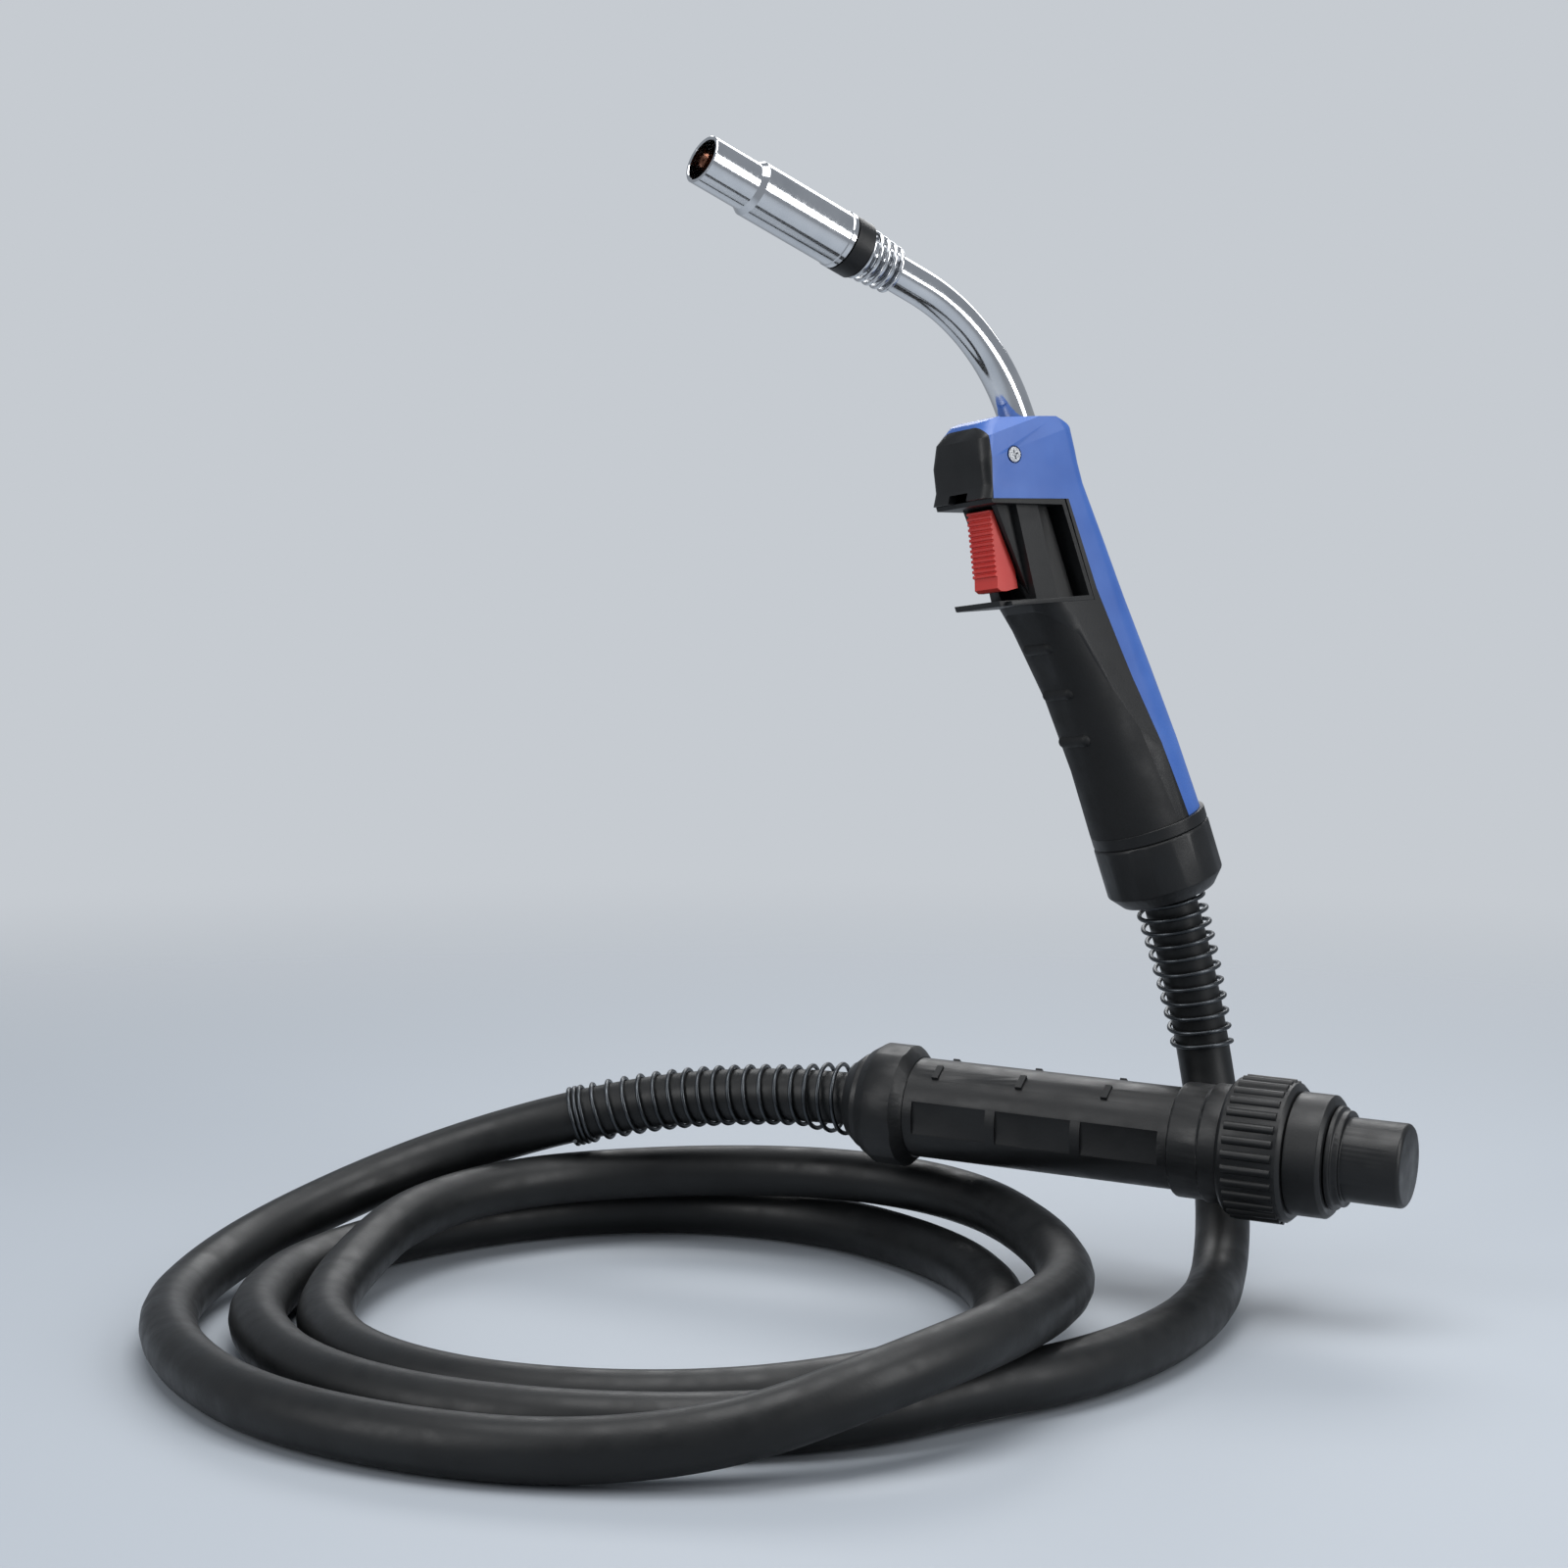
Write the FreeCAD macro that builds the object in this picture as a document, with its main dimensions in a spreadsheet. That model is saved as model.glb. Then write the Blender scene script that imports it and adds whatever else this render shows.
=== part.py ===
import FreeCAD, Part
import Sketcher
import math
import os
from FreeCAD import Placement, Rotation, Vector

# A hand-held arc welding torch that lies with its hose-cable coiled on a floor.
# Millimetres, +Z up. The origin is the middle of the cable coil, on the floor.
# "front" of the torch is its trigger side.

doc = FreeCAD.newDocument("Torch")
sheet = doc.addObject("Spreadsheet::Sheet", "Sizes")


class Size:
    """A number from the sheet, or worked out from it, with the expression that says how."""

    def __init__(self, value, text):
        self.value, self.text = float(value), text

    def __add__(self, other):
        o = as_size(other)
        return Size(self.value + o.value, f"({self.text} + {o.text})")

    def __sub__(self, other):
        o = as_size(other)
        return Size(self.value - o.value, f"({self.text} - {o.text})")

    def __mul__(self, factor):
        return Size(self.value * factor, f"({self.text} * {factor})")

    def __truediv__(self, factor):
        return Size(self.value / factor, f"({self.text} / {factor})")

    def __neg__(self):
        return self * -1

    def __float__(self):
        return self.value

    def __rsub__(self, other):
        return as_size(other) - self

    __radd__ = __add__
    __rmul__ = __mul__


def as_size(number):
    return number if isinstance(number, Size) else Size(number, repr(float(number)))


rows = 0


def size(alias, value):
    """Write one driving dimension into the sheet and hand it back."""
    global rows
    rows += 1
    sheet.set(f"A{rows}", alias)
    sheet.set(f"B{rows}", str(value))
    sheet.setAlias(f"B{rows}", alias)
    return Size(value, f"Sizes.{alias}")


# Fits that several joints of the torch share.
running_gap = size("running_gap", 0.3)
shaft_gap = size("shaft_gap", 0.05)

# Contact tip, holder and gas nozzle, along the nozzle axis.
wire_bore_radius = size("wire_bore_radius", 0.6)
tip_radius = size("tip_radius", 4.0)
tip_length = size("tip_length", 28.0)
tip_nose_radius = size("tip_nose_radius", 2.6)
tip_recess = size("tip_recess", 8.0)
holder_radius = size("holder_radius", 5.5)
holder_length = size("holder_length", 24.0)
diffuser_radius = size("diffuser_radius", 7.2)
diffuser_length = size("diffuser_length", 14.0)
diffuser_hole_radius = size("diffuser_hole_radius", 1.0)
nozzle_length = size("nozzle_length", 65.0)
nozzle_rear_radius = size("nozzle_rear_radius", 11.0)
nozzle_front_radius = size("nozzle_front_radius", 9.2)
nozzle_front_length = size("nozzle_front_length", 20.0)
nozzle_wall = size("nozzle_wall", 1.4)
insulator_length = size("insulator_length", 7.5)
insulator_radius = size("insulator_radius", 11.0)
nozzle_spring_length = size("nozzle_spring_length", 19.0)
nozzle_spring_radius = size("nozzle_spring_radius", 8.9)
nozzle_spring_wire = size("nozzle_spring_wire", 1.7)
nozzle_spring_turns = size("nozzle_spring_turns", 4.8)

# Swan neck: a tube that is straight in the handle and then bends towards the nozzle.
neck_radius = size("neck_radius", 7.0)
neck_wall = size("neck_wall", 1.5)
neck_core_radius = size("neck_core_radius", 4.2)
liner_radius = size("liner_radius", 2.2)
neck_bend_radius = size("neck_bend_radius", 80.0)
neck_start_angle = size("neck_start_angle", 3.0)
neck_end_angle = size("neck_end_angle", 49.0)
neck_exit_setback = size("neck_exit_setback", -2.5)
neck_lead = size("neck_lead", 11.6)
neck_in_handle = size("neck_in_handle", 92.0)

# Handle: its height runs from the mouth of its nut to the top of its head.
handle_height = size("handle_height", 200.0)
head_half_width = size("head_half_width", 17.0)
shell_wall = size("shell_wall", 4.2)
cover_wall = size("cover_wall", 2.0)
grip_wall = size("grip_wall", 1.5)
switch_half_width = size("switch_half_width", 13.6)
frame_rail = size("frame_rail", 1.8)
shelf_reach = size("shelf_reach", 47.0)
trigger_half_width = size("trigger_half_width", 7.0)
trigger_pin_radius = size("trigger_pin_radius", 1.5)
serration_pitch = size("serration_pitch", 2.0)
serration_depth = size("serration_depth", 0.8)
plunger_radius = size("plunger_radius", 1.2)
plunger_length = size("plunger_length", 4.0)
screw_head_radius = size("screw_head_radius", 2.8)
screw_recess_radius = size("screw_recess_radius", 3.4)
nut_radius = size("nut_radius", 23.6)
nut_length = size("nut_length", 26.0)
nut_sides = size("nut_sides", 8)
nut_centre_x = size("nut_centre_x", 2.6)
ring_length = size("ring_length", 5.0)

# Cable and the spring guards on it.
cable_radius = size("cable_radius", 10.5)
guard_wire = size("guard_wire", 2.0)
guard_gap = size("guard_gap", 0.35)
guard_length = size("guard_length", 66.0)
plug_guard_length = size("plug_guard_length", 112.0)
coil_outer_radius = size("coil_outer_radius", 181.0)
coil_inner_radius = size("coil_inner_radius", 106.0)
coil_height = size("coil_height", 42.0)
coil_setback = size("coil_setback", -14.0)

# Central plug, along its own axis from the cable end.
plug_nut_radius = size("plug_nut_radius", 19.0)
plug_nut_length = size("plug_nut_length", 8.0)
plug_ring_radius = size("plug_ring_radius", 24.0)
plug_ring_length = size("plug_ring_length", 20.0)
housing_radius = size("housing_radius", 19.6)
housing_length = size("housing_length", 109.0)
housing_wall = size("housing_wall", 3.4)
panel_length = size("panel_length", 31.0)
panel_width = size("panel_width", 13.0)
panel_depth = size("panel_depth", 1.5)
end_ring_radius = size("end_ring_radius", 22.0)
end_ring_length = size("end_ring_length", 20.0)
collar_radius = size("collar_radius", 26.2)
collar_rib = size("collar_rib", 1.2)
collar_length = size("collar_length", 25.0)
collar_ribs = size("collar_ribs", 30)
front_ring_radius = size("front_ring_radius", 23.2)
front_ring_length = size("front_ring_length", 14.2)
core_radius = size("core_radius", 11.5)
cap_radius = size("cap_radius", 15.8)
cap_wall = size("cap_wall", 2.0)
cap_length = size("cap_length", 22.5)
cap_step_radius = size("cap_step_radius", 19.5)
cap_step_length = size("cap_step_length", 5.0)
nipple_radius = size("nipple_radius", 4.0)
nipple_length = size("nipple_length", 11.0)
contact_radius = size("contact_radius", 1.3)
contact_length = size("contact_length", 21.0)
contact_offset = size("contact_offset", 11.4)
contact_travel = size("contact_travel", 3.0)


# Makers ------------------------------------------------------------------

def bind(obj, field, number):
    """Set one field of a document object, and tie it to the sheet where it comes from there."""
    if isinstance(number, Size):
        if "." not in field:
            setattr(obj, field, number.value)
        obj.setExpression(field, number.text)
    else:
        setattr(obj, field, number)


def solid(kind, name, at=(0, 0, 0), turn=None, **fields):
    """A Part primitive whose fields and place may be sizes."""
    obj = doc.addObject(f"Part::{kind}", name)
    for field, number in fields.items():
        bind(obj, field, number)
    obj.Placement = Placement(Vector(*[float(v) for v in at]), turn or Rotation())
    for axis, number in zip("xyz", at):
        if isinstance(number, Size):
            obj.setExpression(f"Placement.Base.{axis}", number.text)
    return obj


def cylinder(name, radius, height, at=(0, 0, 0), turn=None):
    return solid("Cylinder", name, at, turn, Radius=radius, Height=height)


def box(name, length, width, height, at=(0, 0, 0), turn=None):
    return solid("Box", name, at, turn, Length=length, Width=width, Height=height)


def fuse(name, parts):
    obj = doc.addObject("Part::MultiFuse", name)
    obj.Shapes = parts
    return obj


def cut(name, base, tools):
    obj = doc.addObject("Part::Cut", name)
    obj.Base = base
    obj.Tool = fuse(f"{name}_tools", tools) if len(tools) > 1 else tools[0]
    return obj


nodes = []


def node(obj, label, place=None):
    """Name one finished piece and put it where it belongs."""
    obj.Label = label
    if place is not None:
        obj.Placement = place
    nodes.append(obj)
    return obj


def feature(label, shape, place=None):
    """A piece whose shape comes straight from Part's own functions."""
    obj = doc.addObject("Part::Feature", f"{label}_shape")
    obj.Shape = shape
    return node(obj, label, (place or Placement()).multiply(shape.Placement))


def turned(label, outline, place=None, keep=True):
    """A lathe-turned piece: its half outline, (radius, height) points, spun about Z."""
    body = doc.addObject("PartDesign::Body", f"{label}_body")
    sketch = body.newObject("Sketcher::SketchObject", f"{label}_outline")
    plane = next(f for f in body.Origin.OriginFeatures if f.Role == "XZ_Plane")
    sketch.AttachmentSupport = [(plane, "")]
    sketch.MapMode = "FlatFace"
    points = [Vector(float(r), float(z), 0) for r, z in outline]
    count = len(points)
    for i, point in enumerate(points):
        sketch.addGeometry(Part.LineSegment(point, points[(i + 1) % count]), False)
    for i in range(count):
        sketch.addConstraint(Sketcher.Constraint("Coincident", i, 2, (i + 1) % count, 1))
    for i, (r, z) in enumerate(outline):
        for kind, number, axis in (("DistanceX", r, -2), ("DistanceY", z, -1)):
            if abs(float(number)) < 1e-9:
                sketch.addConstraint(Sketcher.Constraint("PointOnObject", i, 1, axis))
                continue
            at = sketch.addConstraint(Sketcher.Constraint(kind, -1, 1, i, 1, float(number)))
            if isinstance(number, Size):
                sketch.setExpression(f"Constraints[{at}]", number.text)
    spin = body.newObject("PartDesign::Revolution", f"{label}_spin")
    spin.Profile = sketch
    spin.ReferenceAxis = (sketch, ["V_Axis"])
    spin.Angle = 360
    if keep:
        node(body, label, place)
    return body


def sleeve(label, outer, inner, start, end, place=None, keep=True):
    """A plain tube between two heights."""
    return turned(label, [(inner, start), (outer, start), (outer, end), (inner, end)], place, keep)


def helix(radius, wire, pitch, turns, narrow=None):
    """A coil spring about Z that may taper from its radius to a narrower one."""
    height = pitch * turns
    taper = 0.0 if narrow is None else math.degrees(math.atan((narrow - radius) / height))
    path = Part.makeHelix(pitch, height, radius, taper)
    section = Part.Wire([Part.makeCircle(wire / 2, Vector(radius, 0, 0), Vector(0, 1, 0))])
    pipe = Part.Wire(path).makePipeShell([section], True, True)
    return pipe


# Torch frame: the handle's nut stands over the end of the cable, leaning left and forward.

torch_foot = Vector(209.5, 84.0, 153.0)
torch_turn = (
    Rotation(Vector(0, 1, 0), -17.5)
    .multiply(Rotation(Vector(1, 0, 0), 5.0))
    .multiply(Rotation(Vector(0, 0, 1), 35.0))
)
torch = Placement(torch_foot, torch_turn)

# Handle ------------------------------------------------------------------
# Sections of the handle from its nut up: height, front x, back x, half width, and the radius of
# the front and of the back corners. The front flares to a lip over the trigger's window.

top = float(handle_height)
half = float(head_half_width)
HANDLE_SECTIONS = [
    (30.0, -20.5, 23.6, half + 4.0, 20.0, 20.0),
    (58.0, -21.0, 23.0, half + 1.5, 17.5, 17.5),
    (88.0, -22.5, 19.8, half, 14.0, 14.0),
    (118.0, -26.5, 15.2, half, 11.0, 11.0),
    (140.0, -31.0, 11.4, half, 7.0, 7.0),
    (165.0, -36.5, 8.8, half, 4.0, 6.0),
    (173.0, -42.5, 9.2, half, 4.0, 6.0),
    (178.0, -39.0, 9.8, half, 4.0, 6.0),
    (top - 13, -36.8, 10.6, half, 4.0, 6.0),
    (top - 5, -33.5, 10.2, half - 1.0, 5.0, 7.0),
    (top, -28.0, 6.5, half - 5.0, 6.0, 7.5),
]
# The head's top slopes down to the back, and ends in a short steep face.
HEAD_SLOPE = [(-20.0, top - 0.4), (3.0, top - 7.2), (8.0, top - 12.0), (10.8, top - 17.0),
              (60.0, top - 17.0), (60.0, top + 30.0), (-20.0, top + 30.0)]


def rounded_section(height, front, back, side, front_corner, back_corner):
    """A closed rounded rectangle across the handle at one height."""
    most = min(side, (back - front) / 2) - 0.4
    ends = []
    for x, y, angle, corner in ((back, side, 0, back_corner), (front, side, 90, front_corner),
                                (front, -side, 180, front_corner), (back, -side, 270, back_corner)):
        corner = min(corner, most)
        cx = x - math.copysign(corner, x - (front + back) / 2)
        cy = y - math.copysign(corner, y)
        ends.append([Vector(cx + corner * math.cos(math.radians(angle + step)),
                            cy + corner * math.sin(math.radians(angle + step)), height)
                     for step in (0, 45, 90)])
    edges = []
    for i, arc in enumerate(ends):
        edges.append(Part.Arc(*arc).toShape())
        edges.append(Part.LineSegment(arc[2], ends[(i + 1) % 4][0]).toShape())
    return Part.Wire(edges)


def handle_loft(inset, floor=None, roof=0.0):
    """The handle's outer form, or the same form a wall's thickness smaller."""
    wires = []
    for height, front, back, side, front_corner, back_corner in HANDLE_SECTIONS:
        if height == HANDLE_SECTIONS[0][0] and floor is not None:
            height = floor
        if height > top - 10:
            height -= roof
        wires.append(rounded_section(height, front + inset, back - inset, side - inset,
                                     max(front_corner - inset, 1.0), max(back_corner - inset, 1.0)))
    slope = [(x, z - roof) for x, z in HEAD_SLOPE]
    return Part.makeLoft(wires, True, True).cut(side_prism(slope))


def side_prism(points, reach=40.0):
    """A block that has the given outline in side view and reaches across the handle."""
    ring = [Vector(x, -reach, z) for x, z in points]
    face = Part.Face(Part.makePolygon(ring + ring[:1]))
    return face.extrude(Vector(0, 2 * reach, 0))


# Lines of the side view that several pieces share. The head's foot and the shelf under
# the trigger both slope up to the front.
window_top_front, window_top_back = (-41.0, 173.6), (-4.5, 162.2)
window_foot_back, window_foot_front = (-5.0, 122.0), (-60.0, 136.6)
strip_edge = [(6.4, 20.0), (5.6, 60.0), (0.5, 100.0), (-2.5, 126.0), (-3.2, 161.8)]
soft_edge = [(-31.0, 128.9), (-17.0, 112.0), (-11.0, 92.0), (-2.5, 69.0), (0.5, 30.0)]

outer = handle_loft(0.0)
under_cover = handle_loft(float(cover_wall), floor=25.0, roof=float(cover_wall))
under_grip = handle_loft(float(grip_wall), floor=25.0)
cavity = handle_loft(float(shell_wall), floor=25.0, roof=float(shell_wall))

cover_zone = side_prism(strip_edge + [(-38.0, 172.6), (-31.0, top - 7.0), (-25.0, top + 15.0),
                                      (50.0, top + 15.0), (50.0, 20.0)])
grip_zone = side_prism(soft_edge + [(-60.0, 30.0), (-60.0, 136.6)])
window = side_prism([window_top_front, window_top_back, window_foot_back, window_foot_front,
                     (-60.0, 180.0)])
cover_tool = cover_zone.cut(under_cover)
grip_tool = grip_zone.cut(under_grip)

# The neck's path in the handle's own plane.
start_angle = math.radians(float(neck_start_angle))
end_angle = math.radians(float(neck_end_angle))
neck_top = Vector(float(neck_exit_setback), 0, top - 1.0)
start_way = Vector(-math.sin(start_angle), 0, math.cos(start_angle))
end_way = Vector(-math.sin(end_angle), 0, math.cos(end_angle))
neck_foot = neck_top - start_way * float(neck_in_handle)


def along_bend(angle):
    bend = float(neck_bend_radius)
    return neck_top + Vector(-bend * (math.cos(start_angle) - math.cos(angle)), 0,
                             bend * (math.sin(angle) - math.sin(start_angle)))


bend_end = along_bend(end_angle)
neck_end = bend_end + end_way * float(neck_lead)
neck_reach = 34.0          # straight end of the neck that carries the nozzle's insulator
neck_tip = neck_end + end_way * neck_reach


def neck_pipe(radius, start=0.0, finish=0.0):
    """A round bar along the neck, cut short by start and finish at its two ends."""
    first = neck_foot + start_way * start
    last = neck_tip - end_way * finish
    path = Part.Wire([
        Part.LineSegment(first, neck_top).toShape(),
        Part.Arc(neck_top, along_bend((start_angle + end_angle) / 2), bend_end).toShape(),
        Part.LineSegment(bend_end, last).toShape(),
    ])
    section = Part.Wire([Part.makeCircle(radius, first, start_way)])
    return path.makePipeShell([section], True, False)


neck_hole = neck_pipe(float(neck_radius) + 0.02)

notch = Part.makeBox(30.0, 11.0, 6.5, Vector(-62.0, -5.5, 170.0))
black = outer.cut([cavity, cover_tool, grip_tool, window, neck_hole, notch])
far_side = Part.makeBox(200, 100, 400, Vector(-100, 0, -20))
near_side = Part.makeBox(200, 100, 400, Vector(-100, -100, -20))


def main_solid(shape):
    """The largest solid of a shape, without the crumbs that a cut may leave."""
    return max(shape.Solids, key=lambda piece: piece.Volume)


screw_places = [(-22.4, 185.0)]
screw_bore = 1.6


def screw_holes(radius, reach=60.0):
    holes = [Part.makeCylinder(radius, 2 * reach, Vector(x, -reach, z), Vector(0, 1, 0))
             for x, z in screw_places]
    return holes[0].multiFuse(holes[1:]) if holes[1:] else holes[0]


recess_floor = half - 1.4
recesses = [Part.makeCylinder(float(screw_recess_radius), 20, Vector(x, side * recess_floor, z),
                              Vector(0, side, 0))
            for x, z in screw_places for side in (-1, 1)]
recess_tool = recesses[0].fuse(recesses[1:])
bores = screw_holes(screw_bore + 0.02)

feature("handle_shell_left", main_solid(black.common(far_side).cut(recess_tool).cut(bores)), torch)
feature("handle_shell_right", main_solid(black.common(near_side).cut(recess_tool).cut(bores)), torch)
feature("back_cover", main_solid(outer.common(cover_tool).cut(neck_hole).cut(recess_tool).cut(bores)),
        torch)

# The soft grip carries four low finger ridges on its front.
ridge_radius = 2.6
ridges = []
for x, z in ((-25.3, 110.0), (-22.5, 90.5), (-21.5, 71.0)):
    bar = Part.makeCylinder(ridge_radius, 12, Vector(x + 1.2, -6, z), Vector(0, 1, 0))
    ends = [Part.makeSphere(ridge_radius, Vector(x + 1.2, side * 6, z)) for side in (-1, 1)]
    ridges.append(bar.fuse(ends))
soft = main_solid(outer.common(grip_tool)).fuse(ridges).cut(under_grip).cut(window)
feature("soft_grip", main_solid(soft.cut(recess_tool).cut(bores)), torch)

# Switch housing: cheeks beside the trigger, a frame round the window and the shelf below.

def floor_line(x):
    """Height of the window's sloping foot at x."""
    (x0, z0), (x1, z1) = window_foot_back, window_foot_front
    return z0 + (x - x0) * (z1 - z0) / (x1 - x0)


def roof_line(x):
    """Height of the window's sloping top at x."""
    (x0, z0), (x1, z1) = window_top_front, window_top_back
    return z0 + (x - x0) * (z1 - z0) / (x1 - x0)


rail = float(frame_rail)
seat = 0.05
back_x = window_top_back[0] - 0.6
frame_outline = [(-39.0, roof_line(-39.0) - seat), (back_x, roof_line(back_x) - seat),
                 (back_x, floor_line(back_x) + seat), (-44.0, floor_line(-44.0) + seat),
                 (-44.0, floor_line(-44.0) + rail), (back_x - rail, floor_line(back_x) + rail + 0.6),
                 (back_x - rail, roof_line(back_x) - rail), (-39.0, roof_line(-39.0) - rail)]
core_outline = [(-32.5, roof_line(-32.5) - seat), (-9.0, roof_line(-9.0) - seat),
                (-9.0, floor_line(-9.0) + seat), (-29.0, floor_line(-29.0) + seat)]
bar_outline = [(-25.6, roof_line(-25.6) - seat), (-15.6, roof_line(-15.6) - seat),
               (-19.6, floor_line(-19.6) + seat), (-29.6, floor_line(-29.6) + seat)]
shelf_x = -float(shelf_reach)
shelf_outline = [(shelf_x, floor_line(shelf_x) + seat), (-20.0, floor_line(-20.0) + seat),
                 (-20.0, floor_line(-20.0) + 2.2), (shelf_x, floor_line(shelf_x) + 2.2)]
pivot_x, pivot_z = -29.5, 163.5
cheek = float(switch_half_width)
slot = float(trigger_half_width + running_gap)
switch_x, switch_z = -24.0, 141.0
switch_size = Vector(13.0, 9.6, 18.0)

core_cheek = 10.2
housing = side_prism(frame_outline, half - 0.1).fuse([
    side_prism(core_outline, core_cheek), side_prism(bar_outline, cheek),
    side_prism(shelf_outline, cheek)])
pocket = Part.makeBox(switch_size.x, switch_size.y + 0.2, switch_size.z + 0.2,
                      Vector(switch_x, -switch_size.y / 2 - 0.1, switch_z - 0.1))
trigger_slot = side_prism([(-60.0, roof_line(-60.0) - rail - 0.2), (-24.0, roof_line(-24.0) - rail - 0.2),
                           (-24.0, floor_line(-24.0) + 2.6), (-60.0, floor_line(-60.0) + 2.6)], slot)
pin_reach = core_cheek - 0.4
pin_bore = Part.makeCylinder(float(trigger_pin_radius) + 0.02, 2 * pin_reach + 0.1,
                             Vector(pivot_x, -pin_reach - 0.05, pivot_z), Vector(0, 1, 0))
housing = housing.cut([trigger_slot, pocket, pin_bore, neck_hole])
feature("switch_housing", main_solid(housing), torch)

# Trigger, with a serrated front that runs from its top down to its rounded foot.
front_high, front_low = Vector(-33.6, 0, 168.0), Vector(-40.5, 0, 141.0)
face_way = (front_low - front_high).normalize()
inward = Vector(-face_way.z, 0, face_way.x) * -1
teeth = int((front_low - front_high).Length / float(serration_pitch))
trigger_outline = []
for tooth in range(teeth):
    start = front_high + face_way * (tooth * float(serration_pitch))
    for step, depth in ((0.15, 0.0), (0.6, 0.0), (0.75, 1.0), (0.95, 1.0)):
        point = start + face_way * (step * float(serration_pitch))
        point = point - inward * (depth * float(serration_depth))
        trigger_outline.append((point.x, point.z))
trigger_outline += [(-40.6, 139.0), (-39.4, 137.4), (-37.0, 136.6), (-31.2, 136.0), (-28.9, 150.0),
                    (-26.3, 160.0), (-26.3, 165.4)]
trigger_solid = side_prism(trigger_outline, float(trigger_half_width))
pivot_hole = Part.makeCylinder(float(trigger_pin_radius + shaft_gap), 60,
                               Vector(pivot_x, -30, pivot_z), Vector(0, 1, 0))
feature("trigger", main_solid(trigger_solid.cut(pivot_hole)), torch)

pin = Part.makeCylinder(float(trigger_pin_radius), 2 * pin_reach, Vector(pivot_x, -pin_reach, pivot_z),
                        Vector(0, 1, 0))
feature("trigger_pin", pin, torch)

# Micro switch behind the trigger, with the plunger that the trigger pushes.
plunger_z = 150.0
forward = Rotation(Vector(0, 1, 0), -90)
plunger_tip = -28.6
switch_body = Part.makeBox(switch_size.x - 0.2, switch_size.y, switch_size.z,
                           Vector(switch_x + 0.1, -switch_size.y / 2, switch_z))
plunger_bore = Part.makeCylinder(float(plunger_radius + shaft_gap), 6.0,
                                 Vector(switch_x + 5.0, 0, plunger_z), Vector(-1, 0, 0))
feature("micro_switch", switch_body.cut(plunger_bore), torch)
plunger_rod = Part.makeCylinder(float(plunger_radius), float(plunger_length) + 2.5,
                                Vector(plunger_tip, 0, plunger_z), Vector(1, 0, 0))
feature("switch_plunger", plunger_rod, torch)

spring_seat = Vector(-30.0, 0, 139.6)
return_spring = helix(2.0, 0.7, 1.5, 3.4)
spring_place = Placement(spring_seat, Rotation(Vector(0, 1, 0), 90))
feature("trigger_spring", return_spring.transformed(spring_place.toMatrix()), torch)

# One screw clamps the head across, into a nut on the far side.
screw_x, screw_z = screw_places[0]
head = Part.makeCylinder(float(screw_head_radius), 1.6, Vector(screw_x, -recess_floor, screw_z),
                         Vector(0, -1, 0))
slot_cuts = [Part.makeBox(0.7, 1.0, 3.6, Vector(screw_x - 0.35, -recess_floor - 1.7, screw_z - 1.8)),
             Part.makeBox(3.6, 1.0, 0.7, Vector(screw_x - 1.8, -recess_floor - 1.7, screw_z - 0.35))]
shank = Part.makeCylinder(screw_bore, recess_floor * 2 + 1.2, Vector(screw_x, -recess_floor, screw_z),
                          Vector(0, 1, 0))
feature("head_screw", head.cut(slot_cuts).fuse(shank), torch)
hexagon = Part.makePolygon([Vector(screw_x + 2.9 * math.cos(math.radians(60 * i)), recess_floor,
                                   screw_z + 2.9 * math.sin(math.radians(60 * i))) for i in range(7)])
nut_shape = Part.Face(hexagon).extrude(Vector(0, 1.3, 0))
nut_shape = nut_shape.cut(Part.makeCylinder(screw_bore + 0.02, 9, Vector(screw_x, recess_floor - 3,
                                            screw_z), Vector(0, 1, 0)))
feature("head_screw_nut", main_solid(nut_shape), torch)

# Foot of the handle: a trim ring and the faceted nut that clamps the cable.
foot = torch.multiply(Placement(Vector(float(nut_centre_x), 0, 0), Rotation()))
nut_top = nut_length - 1.0
sleeve("handle_ring", nut_radius - 0.6, cable_radius + 5.5, nut_top, nut_top + ring_length, foot)
prism = solid("Prism", "nut_prism", (0, 0, -1.0), Rotation(Vector(0, 0, 1), 10),
              Polygon=int(float(nut_sides)), Circumradius=nut_radius + 1.2, Height=nut_length)
rim = turned("nut_form", [(0, -1.0), (nut_radius - 5.0, -1.0), (nut_radius - 0.4, 4.5),
                          (nut_radius - 0.4, nut_top - 1.0), (nut_radius - 1.2, nut_top),
                          (0, nut_top)], keep=False)
nut_round = doc.addObject("Part::Common", "nut_round")
nut_round.Base, nut_round.Tool = prism, rim
nut_bore = cylinder("nut_bore", cable_radius + 3.5, nut_length, (0, 0, 3.0))
nut_mouth = cylinder("nut_mouth", cable_radius + 0.5, 10.0, (0, 0, -5.0))
node(cut("nut_cut", nut_round, [nut_bore, nut_mouth]), "handle_nut", foot)

# Current path inside the handle: the crimp on the cable, and the brass block on the neck.
crimp_foot = 24.0
crimp_length = 34.0
turned("cable_crimp", [(0, crimp_foot + crimp_length - 6), (cable_radius + 0.05, crimp_foot + crimp_length - 6),
                       (cable_radius + 0.05, crimp_foot), (cable_radius + 2.0, crimp_foot),
                       (cable_radius + 2.0, crimp_foot + crimp_length), (0, crimp_foot + crimp_length)], foot)
block_x = 2.2
block_end = top - 84.0
block_start = crimp_foot + crimp_length
block = Part.makeCylinder(8.6, block_end - block_start, Vector(block_x, 0, block_start), Vector(0, 0, 1))
feature("current_block", main_solid(block.cut(neck_hole)), torch)

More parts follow.
